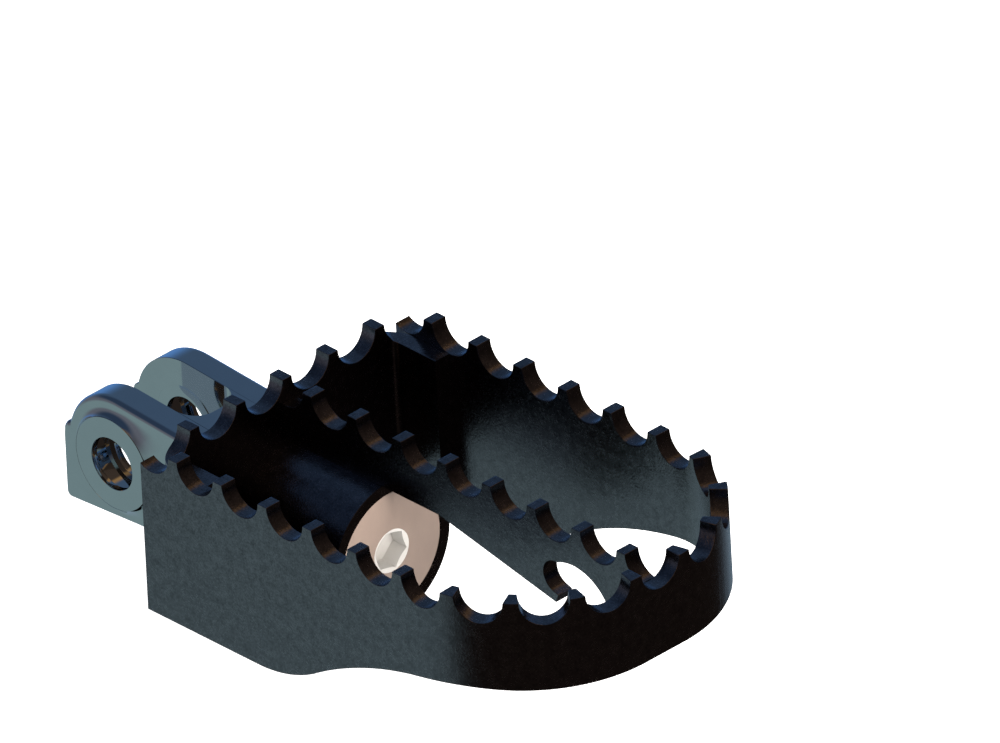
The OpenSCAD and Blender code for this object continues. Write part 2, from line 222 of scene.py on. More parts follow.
def hoop_plan(centre, along, offset):
    """Plan position of a point near the cut centred at a distance along the
    middle line from the tip. In the bend, the point at a distance along from
    the cut's axis turns by the arcsine of that distance over the radius, and
    past the cut the rest of the turn to the tooth's middle is shared evenly."""
    side = np.where(centre < 0, -1.0, 1.0)
    centre, along = np.abs(centre), along * side
    radius = mid_r + offset
    theta0 = (centre - corner_y) / mid_r
    in_cut = np.clip(np.abs(along), 0, cut_reach)
    edge = np.arcsin(in_cut / radius)
    past_cut = (np.abs(along) - in_cut) / (pitch / 2 - cut_reach)
    theta = theta0 + np.sign(along) * (edge + past_cut * (pitch / 2 / mid_r - edge))
    t0 = np.clip(theta0, 0.1, np.pi / 2)
    past = (along - radius * np.cos(t0)) / np.sin(t0)
    arc_l = mid_r * np.pi / 2
    straight = centre > corner_y + arc_l
    past = np.where(straight, centre - corner_y - arc_l + along, past)
    bend_x, bend_y = corner_x + radius * np.cos(theta), corner_y + radius * np.sin(theta)
    on_side = straight | (theta > np.pi / 2)
    x = np.where(on_side, corner_x - past, bend_x)
    y = np.where(on_side, corner_y + radius, bend_y)
    on_tip = centre < corner_y
    x, y = np.where(on_tip, corner_x + radius, x), np.where(on_tip, along, y)
    return x, y * side


def section_loop(steps=3):
    """Offsets across the plate, how far each point is drawn in from the edge,
    and whether it belongs to the top edge, once round the section."""
    t = np.radians(np.linspace(0, 90, steps))
    inset, draw = edge_r * (1 - np.sin(t)), edge_r * (1 - np.cos(t))
    outer = plate / 2 - inset[::-1]
    offset = np.concatenate([outer, -outer[::-1], -outer, outer[::-1]])
    pull = np.concatenate([draw[::-1], draw, draw[::-1], draw])
    top = np.repeat([True, False], 2 * steps)
    return offset, pull, top


def hoop_points():
    """Grid of points: stations along the strip, by the loop round its section."""
    cuts = np.arange(-10, 11) * pitch
    centre = np.repeat(cuts, len(cut))
    along, height = np.tile(cut[:, 0], len(cuts)), np.tile(cut[:, 1], len(cuts))
    n_along, n_height = np.tile(cut_n[:, 0], len(cuts)), np.tile(cut_n[:, 1], len(cuts))
    end_x, _ = hoop_plan(centre, along, 0.0)
    keep = end_x > platform_x
    first, last = np.argmax(keep), len(keep) - np.argmax(keep[::-1])
    rows = slice(max(first - 1, 0), last + 1)
    centre, along, height = centre[rows], along[rows], height[rows]
    n_along, n_height = n_along[rows], n_height[rows]
    reach = np.abs(hoop_plan(np.array([100.0]), np.array([0.0]), 0.0)[0][0] - platform_x)
    along[0], along[-1] = -reach, reach
    height[[0, -1]] = -np.sqrt(scallop_r ** 2 - reach ** 2)
    n_along[[0, -1]] = 0.0
    offset, pull, top = section_loop()
    step = along[:, None] - n_along[:, None] * pull * top
    x, y = hoop_plan(centre[:, None], step, offset[None, :])
    x[[0, -1]] = platform_x
    upper = tooth_z + height[:, None] - n_height[:, None] * pull
    z = np.where(top, upper, lower_edge(x) + pull)
    return np.stack([x, y, z], -1)


make_piece("hoop_band_surface", [strip_parts(hoop_points())], "platform", "hoop_band")

# %% [markdown]
# ## The cross channel
# The channel closes the hoop's open end: a web with a tight bend and a short
# flange at each side. It is the same kind of strip, carried along a path of
# straights and arcs. Its web is toothed and its flanges stop lower.

# %% Channel surface
def channel_points():
    """The strip's middle line, half of it, runs from the web's centre through
    the bend to the flange's end, then is mirrored. Heights come from the cuts."""
    bend_r, flange_l, inner_y, base = 2.5, 11.9, half_w - plate, side_z + 1.4
    web_mid = plate / 2
    bend_x = web_mid + bend_r
    bend_y = inner_y - bend_x
    cuts = pitch * np.array([0.5, 1.5, 2.5])
    s = (cuts[:, None] + cut[None, :, 0]).ravel()
    height, n_s, n_z = (np.tile(v, len(cuts)) for v in (cut[:, 1], cut_n[:, 0], cut_n[:, 1]))
    web = (s > 0) & (s <= bend_y)
    turn = np.radians(np.linspace(0, 90, 13)[1:])
    bend_mid_y = bend_y + bend_r * np.sin(turn)
    bend_h = -np.sqrt(scallop_r ** 2 - (cuts[-1] - bend_mid_y) ** 2)
    bend_h[-3:] = -scallop_r
    flange = np.linspace(0, flange_l - bend_x, 5)[1:]
    x = np.concatenate([np.full(web.sum(), web_mid), bend_x - bend_r * np.cos(turn), bend_x + flange])
    y = np.concatenate([s[web], bend_mid_y, np.full(len(flange), bend_y + bend_r)])
    out_x = np.concatenate([np.full(web.sum(), -1.0), -np.cos(turn), np.zeros(len(flange))])
    out_y = np.concatenate([np.zeros(web.sum()), np.sin(turn), np.ones(len(flange))])
    z = np.concatenate([height[web], bend_h, np.full(len(flange), -scallop_r)])
    ns = np.concatenate([n_s[web], np.zeros(len(turn) + len(flange))])
    nz = np.concatenate([n_z[web], np.ones(len(turn) + len(flange))])
    x, out_x, z, nz = (np.concatenate([v[::-1], v]) for v in (x, out_x, z, nz))
    y, out_y, ns = (np.concatenate([-v[::-1], v]) for v in (y, out_y, ns))
    offset, pull, top = section_loop()
    px = platform_x + x[:, None] + out_x[:, None] * offset
    py = y[:, None] + out_y[:, None] * offset - ns[:, None] * pull * top
    pz = np.where(top, tooth_z + z[:, None] - nz[:, None] * pull, base + pull)
    return np.stack([px, py, pz], -1)


channel = make_piece("cross_channel_surface", [strip_parts(channel_points())],
                     "platform", "cross_channel")

# %% [markdown]
# ## The centre rib
# The rib is cut from flat plate, so its whole shape is one closed outline.
# The outline is drawn in at both faces by a quarter circle, which softens
# every edge, and a flat face closes each side.

# %% Rib surface
def rib_outline():
    """The rib's side view, anticlockwise: along the bottom from the channel,
    round the beak, the hook and the arch, up the tip and back over the teeth."""
    x0, x1 = platform_x + plate, tip_x - plate
    beak_x, beak_z, low_end_x = platform_x + 63.5, tooth_z - 15.4, platform_x + 37.7
    first_cut_x, sunk = platform_x + 3.9, 0.12
    hook, hook_r = np.array([platform_x + 63.9, tooth_z - 10.75]), 2.9
    arch, arch_r = np.array([platform_x + 67.9, beak_z]), 8.4
    # the beak's top slopes away from the hook's circle, along its tangent
    slope = np.radians(17)
    leave = hook - hook_r * np.array([np.sin(slope), np.cos(slope)])
    end_x = platform_x + 64.2
    end = (end_x, leave[1] - (end_x - leave[0]) * np.tan(slope))
    # where the two circles cross
    gap = arch - hook
    span = np.hypot(*gap)
    near = (hook_r ** 2 - arch_r ** 2 + span ** 2) / (2 * span)
    rise = np.sqrt(hook_r ** 2 - near ** 2)
    cross = hook + near * gap / span + rise * np.array([-gap[1], gap[0]]) / span
    angle = lambda p, c: np.degrees(np.arctan2(*(p - c)[::-1]))
    hook_from = angle(leave, hook) + 360
    hook_to = angle(cross, hook)
    arch_from = angle(cross, arch)
    arch_to = -np.degrees(np.arcsin((arch[1] - tip_z) / arch_r))
    bottom = [line((x0, tube_r - sunk), (tube_end, tube_r - sunk), 12),
              line((tube_end, tube_r), (low_end_x, tube_r), 6),
              line((low_end_x, tube_r), (beak_x, beak_z), 12),
              line((beak_x, beak_z), end, 4), line(end, leave, 4),
              arc(hook, hook_r, hook_from, hook_to, 30),
              arc(arch, arch_r, arch_from, arch_to, 40)[1:],
              line((x1, tip_z), (x1, tooth_z - 2.93), 8)]
    centres = first_cut_x + pitch * np.arange(8, -1, -1)[:, None]
    teeth = np.stack([centres + cut[None, ::-1, 0], tooth_z + 0 * centres + cut[None, ::-1, 1]], -1)
    teeth = teeth.reshape(-1, 2)
    teeth = teeth[(teeth[:, 0] < x1 - 0.01) & (teeth[:, 0] > x0 + 0.01)]
    return np.concatenate(bottom + [teeth, [[x0, teeth[-1, 1]]]])


def plate_parts(outline, half, round_r, steps=4):
    """Rings from one face of a plate to the other. Each is the outline drawn in
    along its mitred normals by r (1 - sin t), at a depth of r (1 - cos t)."""
    t = np.radians(np.linspace(0, 90, steps))
    draw, depth = round_r * (1 - np.sin(t)), -half + round_r * (1 - np.cos(t))
    draw, depth = np.concatenate([draw, draw[::-1]]), np.concatenate([depth, -depth[::-1]])
    flat = outline[None] - mitred_normals(outline)[None] * draw[:, None, None]
    y = np.broadcast_to(depth[:, None], flat.shape[:2])
    points = np.stack([flat[..., 0], y, flat[..., 1]], -1)
    n = len(outline)
    caps = [list(range(n)), list(range(n * (len(draw) - 1), n * len(draw)))]
    return points, grid_faces(len(draw), n, wrap_columns=True) + caps


make_piece("centre_rib_surface", [plate_parts(rib_outline(), plate / 2, 0.1)],
           "platform", "centre_rib")

# %% [markdown]
# ## Turned pieces
# The tube, the bolt, the ear bushes and the stem are all turned: a half
# section spun about an axis. A lathe piece needs only the section's radius
# and distance along the axis, and its corners get a small arc.

# %% Lathe
def soften(section, radius, steps=4):
    """Rounds each corner of a closed section with a quadratic curve that starts
    and ends at the given distance from the corner."""
    p = np.asarray(section, float)
    before, after = np.roll(p, 1, 0) - p, np.roll(p, -1, 0) - p
    r = np.broadcast_to(np.asarray(radius, float), (len(p),))[:, None]
    lb, la = (np.linalg.norm(v, axis=1)[:, None] for v in (before, after))
    a = p + before / lb * np.minimum(r, lb * 0.45)
    b = p + after / la * np.minimum(r, la * 0.45)
    t = np.linspace(0, 1, steps)[None, :, None]
    curve = (1 - t) ** 2 * a[:, None] + 2 * t * (1 - t) * p[:, None] + t ** 2 * b[:, None]
    return curve.reshape(-1, 2)


def lathe_parts(section, count=192, axis="x"):
    """Spins a closed section of (distance along, radius) about the x or y axis."""
    turn = np.linspace(0, 2 * np.pi, count, endpoint=False)[:, None]
    along, radius = section[None, :, 0] + 0 * turn, section[None, :, 1]
    a, b = radius * np.cos(turn), radius * np.sin(turn)
    points = np.stack([along, a, b] if axis == "x" else [a, along, b], -1)
    return points, grid_faces(count, len(section), wrap_rows=True, wrap_columns=True)


# %% [markdown]
# The bearing tube is plain outside. Its mouth is bored wider, so that the
# bolt's disc sits inside it with a dark ring around.

# %% Tube
mouth = tube_end - 5.7
tube_section = soften([(platform_x, tube_r), (platform_x, tube_bore_r), (mouth, tube_bore_r),
                       (mouth, tube_mouth_r), (tube_end, tube_mouth_r), (tube_end, tube_r)],
                      [0.3, 0.3, 0.1, 0.1, 0.12, 0.18])
make_piece("bearing_tube_surface", [lathe_parts(tube_section)], "platform", "bearing_tube")

# %% [markdown]
# Each ear is lined by a flanged sleeve. It touches the pin only at two narrow
# lips and is relieved between them. Both ears use one section, mirrored.

# %% Ear bushes
lip, relief_r, bush_r, flange_r, bore_r = 1.2, 5.6, 6.5, 8.0, 4.5
for side, node in ((-1, "front_ear_bush"), (1, "rear_ear_bush")):
    inner, outer = 5.1, 11.1
    bush_section = soften([(inner, bore_r), (inner, bush_r), (outer - lip, bush_r), (outer - lip, flange_r),
                           (outer, flange_r), (outer, bore_r), (outer - lip, bore_r), (outer - lip, relief_r),
                           (inner + lip, relief_r), (inner + lip, bore_r)],
                          [0.02, 0.01, 0.1, 0.1, 0.1, 0.12, 0.1, 0.1, 0.1, 0.1])
    bush_section[:, 0] *= side
    make_piece(node + "_surface", [lathe_parts(bush_section, axis="y")], "hanger", node)

# %% [markdown]
# The tube passes through the channel. A turned solid is taken out of the
# channel's web, which leaves the round hole and, at the rear face, the
# sloping groove that the weld fills.

# %% The tube's hole in the channel
def cut_turned(piece, section, sharp=32):
    """Takes a turned shape out of a piece with an exact boolean. The result
    becomes the piece's own mesh, so nothing is left to do when it renders."""
    points, faces = lathe_parts(np.array(section))
    tool = bpy.data.objects.new("cutting_tool", solid_mesh("cutting_tool", points.reshape(-1, 3), faces))
    bpy.context.scene.collection.objects.link(tool)
    weighted = piece.modifiers[0]
    weighted.show_viewport = False
    boolean = piece.modifiers.new("cut", "BOOLEAN")
    boolean.operation, boolean.solver, boolean.object = "DIFFERENCE", "EXACT", tool
    graph = bpy.context.evaluated_depsgraph_get()
    mesh = bpy.data.meshes.new_from_object(piece.evaluated_get(graph), depsgraph=graph)
    piece.modifiers.remove(boolean)
    weighted.show_viewport = True
    mesh.shade_smooth()
    mesh.set_sharp_from_angle(angle=np.radians(sharp))
    piece.data = mesh
    bpy.data.objects.remove(tool)
    print(f"{piece.name}: {len(mesh.vertices)} points after the cut")


groove, before = 1.2, 1.0
beyond = platform_x + plate + before
cut_turned(channel, [(platform_x - before, 0.0), (platform_x - before, tube_r + groove + before),
                     (platform_x + groove, tube_r), (beyond, tube_r), (beyond, 0.0)])

# %% [markdown]
# ## The retaining bolt
# The bolt's head is a wide flat disc with a hexagon socket. A hexagon is a
# circle whose radius depends on the angle: the flat's distance over the cosine
# of the angle from the flat's middle. So the socket is still a grid of rings
# by angle, and the cone that eases a key in falls out of the same formula.

# %% Bolt surface
def bolt_parts(count=288):
    """Rings by angle: the shank, the grooved head, the face, the cone, the walls
    of the hexagon and a shallow drilled bottom. The cone's depth is half of how
    far the hexagon lies inside its mouth."""
    face, back, mouth_r, flat_r = tube_end - 0.1, mouth + 0.9, 3.7, 3.0
    shank_end, shank_r, head_r, groove_r, half_groove = 30.0, 4.0, 10.4, 8.95, 0.75
    wall_end, drill_end = face - 3.3, face - 4.1
    seal_low, seal_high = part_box("head_seal")
    groove = (seal_low.x + seal_high.x) / 2 / MM
    turn = np.linspace(0, 2 * np.pi, count, endpoint=False)
    from_flat = np.mod(turn - np.radians(15) + np.pi / 6, np.pi / 3) - np.pi / 6
    hexagon = flat_r / np.cos(from_flat)
    one = np.ones(count)
    groove_from, groove_to = groove - half_groove, groove + half_groove
    outer = soften([(shank_end, 0.0), (shank_end, shank_r), (back, shank_r), (back, head_r),
                    (groove_from, head_r), (groove_from, groove_r), (groove_to, groove_r),
                    (groove_to, head_r), (face, head_r), (face, mouth_r)],
                   [0, 0.8, 0.1, 0.2, 0.1, 0.1, 0.1, 0.1, 0.06, 0])
    outer = outer[3:-3]
    rings = [(x * one, r * one) for x, r in outer]
    rings += [(face - (mouth_r - hexagon) * 0.5, hexagon), (wall_end * one, hexagon),
              ((wall_end - 0.01) * one, (flat_r - 0.05) * one), (drill_end * one, 0.3 * one),
              ((drill_end - 0.05) * one, 0 * one)]
    x, r = np.stack([a for a, _ in rings]), np.stack([b for _, b in rings])
    points = np.stack([x, r * np.cos(turn), r * np.sin(turn)], -1)
    return points, grid_faces(len(rings), count, wrap_columns=True)


bolt = make_piece("retaining_bolt_surface", [bolt_parts()], "hanger", "retaining_bolt",
                  sharp=25)
bolt.visible_glossy = False  # no other piece mirrors the pale disc

# %% [markdown]
# ## The hanger
# The hanger is a forging: two ears joined by a short block, and a stem that
# is hidden in the tube. Each ear's outline can be seen whole from the bore's
# centre, so every outline point has a partner at the same angle on a circle.
# That lets one grid run from the bore, out over the boss and its hollow
# fillet, across the flat, round the edge and back along the ear's inside.

# %% Hanger surface
ear_face, slot_y, ear_r, shoulder = 10.0, 5.1, 11.1, 25.0
foot_x, foot_low, bottom_slope, heel_r = -11.8, -10.9, 0.0646, 1.0
top_steps = 44


def hanger_outline():
    """Anticlockwise from the shoulder's top: along the top edge, round the ear,
    down the foot, and back along the rising bottom edge. The second array is
    the radius of the outer edge's rounding at each point."""
    top_z, foot_top, foot_r = 9.5, 2.9, 1.3
    reach = np.hypot(shoulder, top_z)
    touch = np.degrees(np.arctan2(top_z, shoulder) + np.arccos(ear_r / reach))
    touch_p = ear_r * np.array([np.cos(np.radians(touch)), np.sin(np.radians(touch))])
    corner = np.array([foot_x + foot_r, foot_top - foot_r])
    span = np.hypot(*corner)
    near = (ear_r ** 2 - foot_r ** 2 + span ** 2) / (2 * span)
    rise = np.sqrt(ear_r ** 2 - near ** 2)
    meet = near * corner / span + rise * np.array([-corner[1], corner[0]]) / span * -1
    meet_ear = np.degrees(np.arctan2(meet[1], meet[0]))
    meet_foot = np.degrees(np.arctan2(*(meet - corner)[::-1]))
    low_x = foot_x + heel_r
    end_z = foot_low + bottom_slope * (shoulder - low_x)
    parts = [line((shoulder, top_z), touch_p, top_steps), arc((0, 0), ear_r, touch, meet_ear, 60)[:-1],
             arc(corner, foot_r, meet_foot, 180, 12)[:-1],
             line((foot_x, foot_top - foot_r), (foot_x, foot_low + heel_r), 24),
             arc((low_x, foot_low + heel_r), heel_r, 180, 266, 8),
             line((low_x + 0.6, foot_low + bottom_slope * 0.6), (shoulder, end_z), 64),
             line((shoulder, end_z), (shoulder, top_z), 36)]
    rounding = np.concatenate([np.full(len(p), r) for p, r in
                               zip(parts, (1.1, 1.1, 0.8, 0.25, 0.25, 0.25, 0.02))])
    weights = np.hanning(13)[1:-1]
    padded = np.concatenate([rounding[-5:], rounding, rounding[:5]])
    rounding = np.convolve(padded, weights / weights.sum(), mode="valid")
    return np.concatenate(parts), rounding


def ear_parts(side):
    """One closed grid: outline points by the rings that run from the bore's
    hole, over the boss, across the face, round the edge and back inside."""
    outline, rounding = hanger_outline()
    normals = mitred_normals(outline)
    t = np.radians(np.linspace(0, 90, 7))
    rings = [(outline - normals * (rounding * (1 - np.sin(a)))[:, None],
              ear_face - rounding * (1 - np.cos(a))) for a in t]
    rings += [(outline, np.full(len(outline), slot_y + 0.08)),
              (outline - normals * 0.08, np.full(len(outline), slot_y))]
    inset = rings[0][0]
    theta = np.arctan2(inset[:, 1], inset[:, 0])
    circle = np.stack([np.cos(theta), np.sin(theta)], -1)
    # the hollow fillet climbs from the face to the boss's level rim. It is tight
    # round the ear's end and spreads out over the arm, so it fades there
    to_arm = np.clip((95 - np.abs(np.degrees(theta))) / 65, 0, 1)
    foot_r = np.minimum(9.45 + 6.5 * to_arm ** 2, np.hypot(inset[:, 0], inset[:, 1]) - 0.1)
    # the rim touches the bush's flange at the top. Below the stem's side the bore
    # of the seat is off centre and leaves a gap
    open_side = np.clip((np.cos(theta + np.radians(17)) - 0.68) / 0.32, 0, 1)
    far_side = np.clip((np.cos(theta - np.radians(220)) - 0.34) / 0.66, 0, 1)
    seat = 8.01 + 0.6 * open_side + 0.1 * np.sqrt(far_side)
    rim, seat_floor, hole_r, same = 11.0, 9.9, 6.5, 0 * seat
    width = foot_r - seat - 0.03
    turn = 2 * np.arctan((rim - ear_face) / width)
    boss = []
    for part in np.linspace(0, 1, 9):
        radius = foot_r - width * np.sin(part * turn) / np.sin(turn)
        boss.append((circle * radius[:, None],
                     ear_face + (rim - ear_face) * (1 - np.cos(part * turn)) / (1 - np.cos(turn))))
    boss += [(circle * seat[:, None], rim - 0.03 + same), (circle * seat[:, None], seat_floor + same),
             (circle * hole_r, seat_floor + same), (circle * hole_r, slot_y + same)]
    rings = boss[::-1] + rings
    flat = np.stack([p for p, _ in rings])
    depth = np.stack([y for _, y in rings]) * side
    points = np.stack([flat[..., 0], depth, flat[..., 1]], -1)
    return points, grid_faces(len(rings), len(outline), wrap_rows=True, wrap_columns=True)


def block_parts():
    """The block between the ears: its plan is the slot's rounded end, and its
    top and bottom are the ears' straight edges carried across."""
    end_x, end_r = 9.0, 4.0
    end_y = slot_y - end_r
    plan = np.concatenate([line((shoulder, slot_y), (end_x, slot_y), 4),
                           arc((end_x, end_y), end_r, 90, 0, 16), arc((end_x, -end_y), end_r, 0, -90, 16),
                           line((end_x, -slot_y), (shoulder, -slot_y), 4)[1:], [(shoulder, -slot_y)]])
    outline, _ = hanger_outline()
    crest = outline[top_steps - 1]
    slope = (crest[1] - outline[0, 1]) / (shoulder - crest[0])
    top = outline[0, 1] + slope * (shoulder - plan[:, 0])
    low_z = foot_low + bottom_slope * (plan[:, 0] - (foot_x + heel_r))
    points = np.stack([np.column_stack([plan, top]), np.column_stack([plan, low_z])])
    n = len(plan)
    return points, grid_faces(2, n, wrap_columns=True) + [list(range(n)), list(range(n, 2 * n))]


stem_from, stem_to, stem_r, thread_from, thread_r, core_r = 24.5, 46.3, 7.0, 28.0, 4.05, 0.5
stem_section = soften([(stem_from, core_r), (stem_from, stem_r), (stem_to, stem_r), (stem_to, thread_r),
                       (thread_from, thread_r), (thread_from, core_r)], [0, 0.1, 0.5, 0.3, 0.2, 0])
make_piece("hanger_surface",
           [ear_parts(-1), ear_parts(1), block_parts(), lathe_parts(stem_section, 96)],
           "hanger", "hanger")

# %% [markdown]
# ## Finishes
# All finishes share one node group. It reads the piece's own coordinates and
# gives two noises: slow clouds and fine grains. Each material mixes them into
# its colour, its roughness and a slight bump in its own amounts.

# %% Shared node group for clouds and grains
def surface_variation():
    """Node group: a colour, a roughness and a height that vary over a piece."""
    group = bpy.data.node_groups.new("surface_variation", "ShaderNodeTree")
    face = group.interface
    inputs = {"Dark Color": (0, 0, 0, 1), "Light Color": (1, 1, 1, 1), "Cloud Scale": 300.0,
              "Grain Scale": 2500.0, "Low Roughness": 0.3, "High Roughness": 0.5, "Grain Share": 0.5,
              "Stretch": (1, 1, 1)}
    kinds = {float: "NodeSocketFloat", 4: "NodeSocketColor", 3: "NodeSocketVector"}
    for name, value in inputs.items():
        kind = kinds[float if isinstance(value, float) else len(value)]
        face.new_socket(name, in_out="INPUT", socket_type=kind).default_value = value
    for name, kind in (("Color", kinds[4]), ("Roughness", kinds[float]), ("Height", kinds[float])):
        face.new_socket(name, in_out="OUTPUT", socket_type=kind)
    add, link = group.nodes.new, group.links.new
    inp, out, coords = add("NodeGroupInput"), add("NodeGroupOutput"), add("ShaderNodeTexCoord")
    stretch = add("ShaderNodeVectorMath")
    stretch.operation = "MULTIPLY"
    link(coords.outputs["Object"], stretch.inputs[0])
    link(inp.outputs["Stretch"], stretch.inputs[1])
    noises = []
    for scale, detail in (("Cloud Scale", 4.0), ("Grain Scale", 2.0)):
        noise = add("ShaderNodeTexNoise")
        noise.inputs["Detail"].default_value = detail
        noise.inputs["Roughness"].default_value = 0.6
        link(stretch.outputs[0], noise.inputs["Vector"])
        link(inp.outputs[scale], noise.inputs["Scale"])
        noises.append(noise)
    blend = add("ShaderNodeMix")
    link(inp.outputs["Grain Share"], blend.inputs["Factor"])
    link(noises[0].outputs["Fac"], blend.inputs["A"])
    link(noises[1].outputs["Fac"], blend.inputs["B"])
    spread = add("ShaderNodeMapRange")
    spread.inputs["From Min"].default_value, spread.inputs["From Max"].default_value = 0.34, 0.66
    link(blend.outputs["Result"], spread.inputs["Value"])
    color = add("ShaderNodeMix")
    color.data_type = "RGBA"
    link(spread.outputs["Result"], color.inputs["Factor"])
    link(inp.outputs["Dark Color"], color.inputs["A"])
    link(inp.outputs["Light Color"], color.inputs["B"])
    rough = add("ShaderNodeMapRange")
    link(spread.outputs["Result"], rough.inputs["Value"])
    link(inp.outputs["Low Roughness"], rough.inputs["To Min"])
    link(inp.outputs["High Roughness"], rough.inputs["To Max"])
    link(color.outputs["Result"], out.inputs["Color"])
    link(rough.outputs["Result"], out.inputs["Roughness"])
    link(noises[1].outputs["Fac"], out.inputs["Height"])
    return group


variation = surface_variation()
finishes = {}


def make_finish(name, values, metallic, bump=0.0):
    """A material from the shared group's values. Values that don't vary over
    the surface are set on the shader itself."""
    material = bpy.data.materials.new(name)
    material.use_nodes = True
    tree = material.node_tree
    shader = tree.nodes["Principled BSDF"]
    shader.inputs["Metallic"].default_value = metallic
    vary = tree.nodes.new("ShaderNodeGroup")
    vary.node_tree = variation
    for socket, value in values.items():
        vary.inputs[socket].default_value = value
    tree.links.new(vary.outputs["Color"], shader.inputs["Base Color"])
    tree.links.new(vary.outputs["Roughness"], shader.inputs["Roughness"])
    if bump:
        node = tree.nodes.new("ShaderNodeBump")
        node.inputs["Strength"].default_value = 1.0
        node.inputs["Distance"].default_value = bump
        tree.links.new(vary.outputs["Height"], node.inputs["Height"])
        tree.links.new(node.outputs["Normal"], shader.inputs["Normal"])
    finishes[name] = material
    print("finish:", name)
    return material


# %% [markdown]
# The powder coat is black but not flat: it has a satin, slightly metallic
# gloss, faint clouds, and a fine grain that breaks up reflections. The
# forging is smooth and cool, and the bolt is a warm satin with faint
# upright streaks from its facing cut.

# %% The finishes
make_finish("black_coat", {
    "Dark Color": (0.114, 0.108, 0.116, 1), "Light Color": (0.272, 0.256, 0.274, 1),
    "Cloud Scale": 650.0, "Grain Scale": 3000.0, "Low Roughness": 0.17, "High Roughness": 0.30,
    "Grain Share": 0.55}, 1.0, bump=0.00003)
make_finish("hanger_steel", {
    "Dark Color": (0.605, 0.62, 0.62, 1), "Light Color": (0.635, 0.65, 0.65, 1), "Cloud Scale": 260.0,
    "Grain Scale": 2600.0, "Low Roughness": 0.03, "High Roughness": 0.06, "Grain Share": 0.3}, 1.0)
bolt_steel = make_finish("bolt_steel", {
    "Dark Color": (0.207, 0.156, 0.129, 1), "Light Color": (0.227, 0.172, 0.142, 1), "Cloud Scale": 500.0,
    "Grain Scale": 2600.0, "Low Roughness": 0.45, "High Roughness": 0.6, "Grain Share": 0.35,
    "Stretch": (1, 1.3, 0.6)}, 0.0, bump=0.000004)
make_finish("bronze", {
    "Dark Color": (0.50, 0.31, 0.13, 1), "Light Color": (0.66, 0.43, 0.20, 1),
    "Cloud Scale": 900.0, "Grain Scale": 5000.0, "Low Roughness": 0.3, "High Roughness": 0.45,
    "Stretch": (3, 1, 1)}, 1.0, bump=0.000004)
make_finish("spring_steel", {
    "Dark Color": (0.22, 0.22, 0.23, 1), "Light Color": (0.36, 0.36, 0.37, 1), "Cloud Scale": 1200.0,
    "Grain Scale": 6000.0, "Low Roughness": 0.3, "High Roughness": 0.5}, 1.0, bump=0.000004)
make_finish("seal_rubber", {
    "Dark Color": (0.012, 0.012, 0.012, 1), "Light Color": (0.03, 0.03, 0.03, 1), "Cloud Scale": 1500.0,
    "Grain Scale": 7000.0, "Low Roughness": 0.55, "High Roughness": 0.75}, 0.0, bump=0.00001)


# %% [markdown]
# The key socket's walls are painted pale: a painted reflection of bright
# surroundings, not the metal's own colour. A mask by distance from the bolt's axis separates the two.

# %% Painted reflection inside the socket
def within_radius():
    """Node group: one where a point is nearer the x axis than a radius, or zero."""
    group = bpy.data.node_groups.new("within_radius", "ShaderNodeTree")
    group.interface.new_socket("Radius", in_out="INPUT", socket_type="NodeSocketFloat")
    group.interface.new_socket("Inside", in_out="OUTPUT", socket_type="NodeSocketFloat")
    add, link = group.nodes.new, group.links.new
    inp, out, coords = add("NodeGroupInput"), add("NodeGroupOutput"), add("ShaderNodeTexCoord")
    across, length, compare = add("ShaderNodeVectorMath"), add("ShaderNodeVectorMath"), add("ShaderNodeMath")
    across.operation, length.operation, compare.operation = "MULTIPLY", "LENGTH", "LESS_THAN"
    across.inputs[1].default_value = (0, 1, 1)
    link(coords.outputs["Object"], across.inputs[0])
    link(across.outputs[0], length.inputs[0])
    link(length.outputs["Value"], compare.inputs[0])
    link(inp.outputs["Radius"], compare.inputs[1])
    link(compare.outputs[0], out.inputs["Inside"])
    return group


def painted_reflection_inside(material, radius, color):
    """Gives a material another colour within a radius of the x axis, here a painted reflection."""
    tree = material.node_tree
    base = tree.nodes["Principled BSDF"].inputs["Base Color"]
    inside, blend = tree.nodes.new("ShaderNodeGroup"), tree.nodes.new("ShaderNodeMix")
    inside.node_tree = within_radius()
    inside.inputs["Radius"].default_value = radius
    blend.data_type = "RGBA"
    blend.inputs[7].default_value = color
    tree.links.new(inside.outputs["Inside"], blend.inputs["Factor"])
    tree.links.new(base.links[0].from_socket, blend.inputs[6])
    tree.links.new(blend.outputs[2], base)


# the pale colour within 3.71 mm of the bolt's axis is a painted reflection on the socket's walls
painted_reflection_inside(bolt_steel, 3.71 * MM, (0.50, 0.488, 0.467, 1))
print("painted reflection within 3.71 mm of the bolt's axis")

# %% [markdown]
# The record says which finish each node takes. The surfaces made above and the
# solid model's own hidden pieces are treated alike.

# %% Every piece gets its finish
slot_of = {s["node"]: s["material_slot"] for s in frame["record"]["subparts"]}
for piece in bpy.data.objects:
    if piece.type == "MESH":
        slot = slot_of.get(piece.name) or slot_of[piece.name.replace("_surface", "")]
        piece.data.materials.clear()
        piece.data.materials.append(finishes[slot])
        print(f"{piece.name}: {slot}")

# %% [markdown]
# ## Stage and light
# The floor is plain and pale. It glows a little, so that it stays white around
# the part, and it is left out of the part's reflections.

